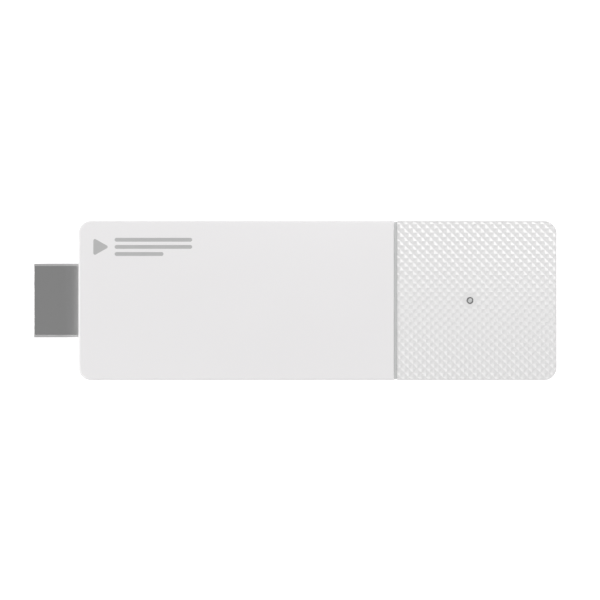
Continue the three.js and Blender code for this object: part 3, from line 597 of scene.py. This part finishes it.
def painted_reflection_plate(name, shades):
    """Polished plate whose grey changes along X through the given shades, painted to stand in for a
    reflection.
    """
    (start, first_grey), (end, last_grey) = shades[0], shades[-1]
    pale, dark = (last_grey,) * 3, (first_grey,) * 3
    material = surface(name, pale, dark, 150, 0.27, metallic=1, pit_depth=0.0003)
    nodes = material.node_tree.nodes
    links = material.node_tree.links
    along = nodes.new("ShaderNodeSeparateXYZ")
    span = nodes.new("ShaderNodeMapRange")
    span.inputs["From Min"].default_value = start * MM
    span.inputs["From Max"].default_value = end * MM
    painted_reflection_ramp = nodes["Color Ramp"]
    painted_reflection_ramp.color_ramp.elements.new(0.5)
    for stop, (x, grey) in zip(painted_reflection_ramp.color_ramp.elements, shades):
        stop.position = (x - start) / (end - start)
        stop.color = (grey, grey, grey, 1)
    nodes.remove(painted_reflection_ramp.inputs["Fac"].links[0].from_node)
    links.new(nodes["Texture Coordinate"].outputs["Object"], along.inputs["Vector"])
    links.new(along.outputs["X"], span.inputs["Value"])
    links.new(span.outputs["Result"], painted_reflection_ramp.inputs["Fac"])
    return material


# The plug's shell carries a painted reflection: its grey is painted paler next to the body.
nickel = painted_reflection_plate("nickel_plate_painted_reflection", PLUG_PAINTED_REFLECTION)
finished(plug, "plug_outer_shell", nickel, "plug_steel", "plug_shell")

black_resin = surface("black_resin", (0.02, 0.02, 0.02), (0.012, 0.012, 0.012), 500, 0.45)
gold = surface("gold_flash", (0.83, 0.58, 0.22), (0.78, 0.52, 0.18), 800, 0.25, metallic=1, pit_depth=0.0005)
dressed("plug_insulator", black_resin)
for n in range(1, 20):
    dressed(f"plug_contact_{n:02d}", gold)

# ---- Power socket ----------------------------------------------------------------------------------------
# A round-ended socket sunk in the board's end: a drawn steel shell with two solder legs a side, and a
# black resin block with the thin tongue that carries twelve gold contacts on each face.

SOCKET_BACK, SOCKET_FRONT = 41.5, 48.8
SOCKET_LEGS = (SOCKET_BACK + 1, SOCKET_BACK + 4)
SOCKET_LEG_ROOT, SOCKET_LEG_OUT = 0.25, 1.3
TONGUE_ROOT, TONGUE_FRONT = SOCKET_BACK + 1, SOCKET_FRONT - 0.9
TONGUE_HALF, TONGUE_TALL = 3.35, 0.35
TONGUE_EDGE, TONGUE_EDGE_STEPS = 0.1, 4
BLOCK_FRONT = SOCKET_BACK + 1.9
tin_steel = surface(
    "tinned_steel", (0.62, 0.63, 0.64), (0.56, 0.57, 0.58), 200, 0.33, metallic=1, pit_depth=0.0005
)

socket_shell = sheet_tube(socket_section, SOCKET_BACK, SOCKET_FRONT, SHEET)
for x in SOCKET_LEGS:
    for side in (1, -1):
        near, far = sorted((side * (SOCKET_HALF - SOCKET_LEG_ROOT), side * (SOCKET_HALF + SOCKET_LEG_OUT)))
        leg = block(x, x + 1, near, far, BOARD_TOP + SEAT, BOARD_TOP + SEAT + SHEET)
        combine(socket_shell, "UNION", leg)
finished(socket_shell, "power_socket_shell", tin_steel, "tin_sheet", "usb_shell")


def tongue_ring(grow, x):
    """The tongue's outline, grown by a little, at a place along the body."""
    half, tall = TONGUE_HALF + grow, TONGUE_TALL + grow
    corners = [(half, MIDDLE - tall), (half, MIDDLE + tall), (-half, MIDDLE + tall), (-half, MIDDLE - tall)]
    return [(x, y, z) for y, z in rounded(corners, [TONGUE_EDGE] * 4, TONGUE_EDGE_STEPS)]


# The tongue's front edge narrows to lead the plug in.
tongue_levels = [
    (0, TONGUE_ROOT),
    (0, TONGUE_FRONT - 0.2),
    (-0.04, TONGUE_FRONT - 0.06),
    (-0.12, TONGUE_FRONT),
]
tongue = lofted([tongue_ring(grow, x) for grow, x in tongue_levels])
block_section = socket_section(-SHEET - SEAT)
back_block = lofted([[(x, y, z) for y, z in block_section] for x in (SOCKET_BACK, BLOCK_FRONT)])
combine(tongue, "UNION", back_block)
finished(tongue, "power_socket_tongue", black_resin, "black_resin", "usb_tongue")

CONTACTS_A_FACE = 12
CONTACT_PITCH, CONTACT_HALF, CONTACT_PROUD = 0.5, 0.13, 0.02
CONTACT_BACK, CONTACT_FRONT = SOCKET_BACK + 2.1, TONGUE_FRONT - 0.5
strips = []
for n in range(CONTACTS_A_FACE):
    y = (n - (CONTACTS_A_FACE - 1) / 2) * CONTACT_PITCH
    left, right = y - CONTACT_HALF, y + CONTACT_HALF
    for z in (MIDDLE + TONGUE_TALL, MIDDLE - TONGUE_TALL):
        strips.append(block(CONTACT_BACK, CONTACT_FRONT, left, right, z - CONTACT_PROUD, z + CONTACT_PROUD))
combine(strips[0], "UNION", *strips[1:])
finished(strips[0], "power_socket_contacts", gold, "gold_contact")

# ---- Reset key -------------------------------------------------------------------------------------------
# A small white key in the side wall, softened at its edge and dished for a fingertip. A flange keeps it in
# from inside, and its stem pushes the plunger of a side switch on the board. Key and plunger move together.

KEY_FACE = -BODY_HALF + 0.05
FLANGE_OUT, FLANGE_IN, STEM_IN = -13.35, -12.85, -12.35
FLANGE_HALF, FLANGE_TALL = KEY_HALF + 0.7, KEY_TALL + 0.45
STEM_HALF, STEM_TALL = 0.6, 0.4
# From the root out to the rounded rim, then in over the dished face.
key_levels = [
    (FLANGE_OUT + 0.1, 0),
    (KEY_FACE + 0.2, 0),
    (KEY_FACE + 0.1, -0.02),
    (KEY_FACE + 0.03, -0.08),
    (KEY_FACE, -0.17),
    (KEY_FACE + 0.02, -0.3),
    (KEY_FACE + 0.07, -0.5),
    (KEY_FACE + 0.09, -0.7),
]
key = along_y(key_outline, key_levels)
for half, tall, start, end in (
    (FLANGE_HALF, FLANGE_TALL, FLANGE_OUT, FLANGE_IN),
    (STEM_HALF, STEM_TALL, FLANGE_IN - 0.1, STEM_IN),
):
    combine(key, "UNION", block(KEY_X - half, KEY_X + half, start, end, KEY_Z - tall, KEY_Z + tall))
finished(key, "reset_key_cap", white_abs, "white_plastic", "reset_key", body="reset_key")
dressed("switch_plunger", black_resin)
dressed("switch_body", black_resin)
dressed("switch_cover", tin_steel)

# ---- Rating label ----------------------------------------------------------------------------------------
# A blank film of pale grey polyester, die-cut with round corners, is stuck down in the recess of the
# underside.

label_film = surface("label_film", (0.70, 0.70, 0.69), (0.68, 0.68, 0.67), 120, 0.55)
dressed("rating_label", label_film)

# ---- Board and what stands on it -------------------------------------------------------------------------
# A green glass-epoxy board carries unmarked black chips, the wireless module and coils. Four dark screws
# hold it. Tinned shields close over the processor, and grey pads pass its heat to aluminium plates.

solder_mask = surface("solder_mask", (0.012, 0.10, 0.05), (0.006, 0.06, 0.03), 1500, 0.3, pit_depth=0.01)
chip_epoxy = surface("chip_epoxy", (0.03, 0.03, 0.032), (0.018, 0.018, 0.02), 4000, 0.55, pit_depth=0.01)
ferrite = surface("ferrite", (0.06, 0.06, 0.063), (0.03, 0.03, 0.032), 2500, 0.7, pit_depth=0.02)
silicone_pad = surface("silicone_pad", (0.22, 0.30, 0.38), (0.18, 0.25, 0.32), 1200, 0.8, pit_depth=0.02)
aluminium = surface("mill_aluminium", (0.72, 0.73, 0.74), (0.62, 0.63, 0.64), 300, 0.4, metallic=1)
dark_zinc = surface("dark_zinc", (0.16, 0.165, 0.17), (0.11, 0.115, 0.12), 600, 0.35, metallic=1)

finishes = {
    solder_mask: ["main_board"],
    chip_epoxy: ["soc_chip", "memory_chip_1", "memory_chip_2", "storage_chip", "power_chip"],
    ferrite: ["power_inductor_1", "power_inductor_2"],
    silicone_pad: ["processor_heat_pad", "upper_heat_pad", "lower_heat_pad"],
    aluminium: ["upper_heat_plate", "lower_heat_plate"],
    dark_zinc: [f"board_screw_{n}" for n in range(1, 5)],
    tin_steel: [
        "wifi_module",
        "clock_crystal",
        "shield_frame",
        "shield_lid",
        "lower_shield_can",
        "antenna_left",
        "antenna_right",
    ],
}
for material, nodes in finishes.items():
    for node in nodes:
        dressed(node, material)

# ---- Camera, floor and lights ----------------------------------------------------------------------------
# The stick lies on a lit white table and is looked at from straight above. Two large softboxes hang over
# opposite corners, a third stands low at the plug's end, and the room is brightest near its horizon.

CENTRE_X, CENTRE_Y, CAMERA_HEIGHT = 0.90, 0.10, 500
VIEW_WIDTH = 112.95
TABLE_SIZE = 3
TABLE_DROP = 0.02

lens = bpy.data.cameras.new("camera")
lens.type = "ORTHO"
lens.ortho_scale = VIEW_WIDTH * MM
camera = bpy.data.objects.new("camera", lens)
camera.location = (CENTRE_X * MM, CENTRE_Y * MM, CAMERA_HEIGHT * MM)
bpy.context.scene.collection.objects.link(camera)
bpy.context.scene.camera = camera

bpy.context.scene.view_settings.view_transform = "Standard"

ground = bmesh.new()
bmesh.ops.create_grid(ground, x_segments=1, y_segments=1, size=TABLE_SIZE)
floor = new_object("floor", ground)
floor.location.z = -TABLE_DROP * MM
table = bpy.data.materials.new("lit_table")
table.use_nodes = True
shader = table.node_tree.nodes["Principled BSDF"]
shader.inputs["Base Color"].default_value = (0.5, 0.5, 0.5, 1)
shader.inputs["Roughness"].default_value = 0.9
shader.inputs["Specular IOR Level"].default_value = 0
shader.inputs["Emission Color"].default_value = (1, 1, 1, 1)
shader.inputs["Emission Strength"].default_value = 0.75
floor.data.materials.append(table)

world = bpy.data.worlds.new("studio")
bpy.context.scene.world = world
world.use_nodes = True
sky = world.node_tree
toward = sky.nodes.new("ShaderNodeTexCoord")
parts = sky.nodes.new("ShaderNodeSeparateXYZ")
glow = sky.nodes.new("ShaderNodeValToRGB")
glow.color_ramp.elements[0].position = 0.2
glow.color_ramp.elements[1].position = 1.0
glow.color_ramp.elements[0].color = (0.82, 0.82, 0.82, 1)
glow.color_ramp.elements[1].color = (0.215, 0.215, 0.215, 1)
sky.links.new(toward.outputs["Generated"], parts.inputs["Vector"])
sky.links.new(parts.outputs["Z"], glow.inputs["Fac"])
sky.links.new(glow.outputs["Color"], sky.nodes["Background"].inputs["Color"])


def softbox(name, place, target, width, height, power):
    """A rectangular lamp in metres and watts, turned to face its target."""
    light = bpy.data.lights.new(name, "AREA")
    light.shape = "RECTANGLE"
    light.size = width
    light.size_y = height
    light.energy = power
    lamp = bpy.data.objects.new(name, light)
    lamp.location = place
    lamp.rotation_euler = (Vector(target) - Vector(place)).to_track_quat("-Z", "Y").to_euler()
    bpy.context.scene.collection.objects.link(lamp)
    return lamp


softbox("upper_right_softbox", (0.20, 0.29, 0.49), (0.02, 0, 0.01), 0.28, 0.28, 1.65)
softbox("lower_left_softbox", (-0.205, -0.265, 0.49), (0.02, 0, 0.01), 0.28, 0.28, 0.93)
softbox("left_softbox", (-0.55, -0.05, 0.14), (-0.04, 0, 0.01), 0.30, 0.20, 0.9)
